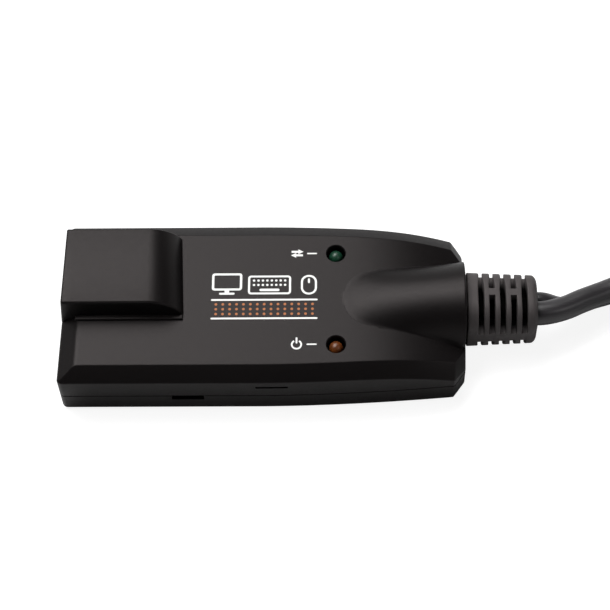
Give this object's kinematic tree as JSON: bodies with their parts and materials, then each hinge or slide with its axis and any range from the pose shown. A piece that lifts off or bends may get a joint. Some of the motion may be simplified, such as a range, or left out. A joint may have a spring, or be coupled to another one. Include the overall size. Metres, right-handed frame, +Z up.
{
  "type": "kvm adapter",
  "caption": "Flat black plastic adapter box with a raised network jack block, indicator lamps and a slotted bend relief, from which a display cord and a USB cord run to their plugs.",
  "frame": {"origin": "on the ground under the middle of the box and its bend relief, cords left out", "axes": "+X along the box towards the cords, +Y to the far long side, +Z up"},
  "size_m": [0.2978, 0.0487, 0.0196],
  "materials": {
    "housing": "fine matte texture",
    "boot_rubber": "satin",
    "cord_jacket": "satin",
    "board": "solder mask",
    "jack_plastic": "matte",
    "sheet_metal": "tinned",
    "gold": "gold plated",
    "green_lens": "clear tinted",
    "amber_lens": "clear tinted",
    "chip_resin": "matte",
    "can_metal": "satin",
    "header_plastic": "matte",
    "wire_red": "satin",
    "wire_green": "satin",
    "screw_steel": "zinc plated",
    "plug_plastic": "fine matte texture",
    "nickel": "nickel plated",
    "blue_plastic": "gloss",
    "white_plastic": "gloss",
    "thumb_plastic": "black knob on a steel screw",
    "tie_rubber": "matte"
  },
  "bodies": {
    "adapter": {"upper_shell": "housing", "lower_shell": "housing", "case_screws": "screw_steel", "circuit_board": "board", "jack_body": "jack_plastic", "jack_shield": "sheet_metal", "jack_contacts": "gold", "green_lamp": "green_lens", "amber_lamp": "amber_lens", "controller_chip": "chip_resin", "video_chip": "chip_resin", "crystal": "can_metal", "capacitors": "can_metal", "video_header": "header_plastic", "usb_header": "header_plastic", "video_wires": "wire_red", "usb_wires": "wire_green", "bend_relief": "boot_rubber", "video_cord": "cord_jacket", "video_cord_hank": "cord_jacket", "usb_cord": "cord_jacket", "usb_cord_hank": "cord_jacket", "cord_tie": "tie_rubber", "video_plug_hood": "plug_plastic", "video_plug_collar": "nickel", "video_plug_insulator": "blue_plastic", "video_plug_pins": "gold", "usb_plug_hood": "plug_plastic", "usb_plug_collar": "nickel", "usb_plug_tongue": "white_plastic", "usb_plug_contacts": "gold"},
    "thumbscrew_near": {"thumbscrew_near": "thumb_plastic"},
    "thumbscrew_far": {"thumbscrew_far": "thumb_plastic"}
  },
  "joints": [
    {"name": "thumbscrew_near_turn", "type": "hinge", "parent": "adapter", "child": "thumbscrew_near", "pos_m": [0.229, -0.0245, 0.0078], "axis": [1, 0, 0], "continuous": true},
    {"name": "thumbscrew_far_turn", "type": "hinge", "parent": "adapter", "child": "thumbscrew_far", "pos_m": [0.229, 0.0005, 0.0078], "axis": [1, 0, 0], "continuous": true}
  ]
}
